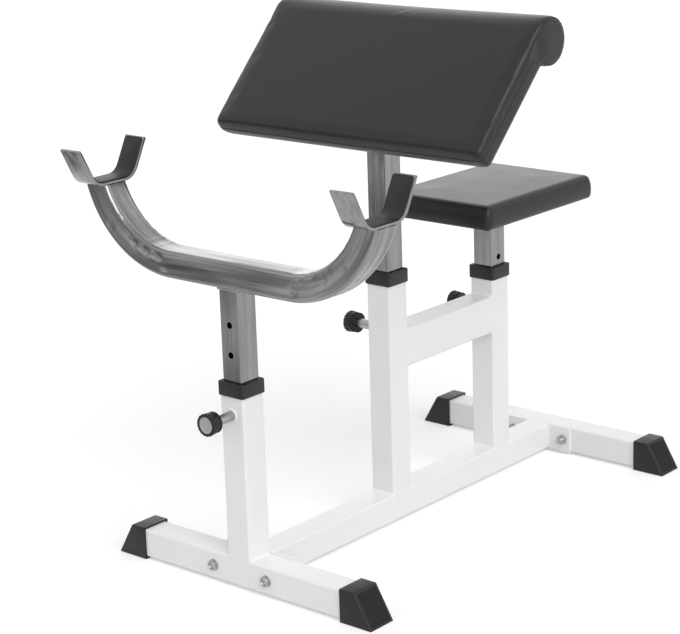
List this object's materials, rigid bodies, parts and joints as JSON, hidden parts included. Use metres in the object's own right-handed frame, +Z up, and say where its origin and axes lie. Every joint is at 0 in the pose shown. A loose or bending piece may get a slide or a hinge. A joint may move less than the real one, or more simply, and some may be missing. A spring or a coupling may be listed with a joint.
{
  "type": "preacher curl bench",
  "caption": "Preacher curl bench: sloped arm pad with a rolled top edge, padded seat and bent tube bar rack, each sliding on a post of a white square-tube frame.",
  "frame": {"origin": "floor level, in the middle of the overall length and width", "axes": "+X to the right of someone facing the bar rack from the front, +Y from the bar rack to the seat, +Z up"},
  "size_m": [0.6286, 0.9754, 0.9056],
  "materials": {
    "white_powder_coat": "satin",
    "chrome_tube": "polished",
    "zinc_steel": "satin",
    "black_rubber": "matte",
    "black_plastic": "matte",
    "black_vinyl": "satin",
    "plywood": "matte",
    "black_painted_steel": "satin"
  },
  "bodies": {
    "frame": {"front_foot_tube": "white_powder_coat", "rear_foot_tube": "white_powder_coat", "base_beam": "white_powder_coat", "beam_front_flange": "white_powder_coat", "beam_rear_flange": "white_powder_coat", "front_post": "white_powder_coat", "arm_pad_post": "white_powder_coat", "seat_post": "white_powder_coat", "post_cross_member": "white_powder_coat", "base_bolts": "zinc_steel", "base_nuts": "zinc_steel", "foot_cap_front_left": "black_rubber", "foot_cap_front_right": "black_rubber", "foot_cap_rear_left": "black_rubber", "foot_cap_rear_right": "black_rubber", "front_post_bush": "black_plastic", "arm_pad_post_bush": "black_plastic", "seat_post_bush": "black_plastic", "pin_barrels": "zinc_steel", "pin_springs": "zinc_steel"},
    "rack": {"rack_inner_tube": "chrome_tube", "rack_u_tube": "chrome_tube", "bar_hook_left": "chrome_tube", "bar_hook_right": "chrome_tube", "bar_hook_liner_left": "black_rubber", "bar_hook_liner_right": "black_rubber"},
    "arm_pad": {"arm_pad_inner_tube": "chrome_tube", "arm_pad_plate": "black_painted_steel", "arm_pad_board": "plywood", "arm_pad_cushion": "black_vinyl", "arm_pad_screws": "zinc_steel"},
    "seat": {"seat_inner_tube": "chrome_tube", "seat_plate": "black_painted_steel", "seat_board": "plywood", "seat_cushion": "black_vinyl", "seat_screws": "zinc_steel"},
    "rack_pin": {"rack_pin_plunger": "zinc_steel", "rack_pin_knob": "black_plastic"},
    "arm_pad_pin": {"arm_pad_pin_plunger": "zinc_steel", "arm_pad_pin_knob": "black_plastic"},
    "seat_pin": {"seat_pin_plunger": "zinc_steel", "seat_pin_knob": "black_plastic"}
  },
  "joints": [
    {"name": "rack_height", "type": "slide", "parent": "frame", "child": "rack", "axis": [0, 0, 1], "range_m": [-0.15, 0.05]},
    {"name": "arm_pad_height", "type": "slide", "parent": "frame", "child": "arm_pad", "axis": [0, 0, 1], "range_m": [-0.1, 0.05]},
    {"name": "seat_height", "type": "slide", "parent": "frame", "child": "seat", "axis": [0, 0, 1], "range_m": [-0.1, 0.05]},
    {"name": "rack_pin_pull", "type": "slide", "parent": "frame", "child": "rack_pin", "axis": [0, 1, 0], "range_m": [0, 0.01]},
    {"name": "arm_pad_pin_pull", "type": "slide", "parent": "frame", "child": "arm_pad_pin", "axis": [1, 0, 0], "range_m": [0, 0.01]},
    {"name": "seat_pin_pull", "type": "slide", "parent": "frame", "child": "seat_pin", "axis": [1, 0, 0], "range_m": [0, 0.01]}
  ]
}
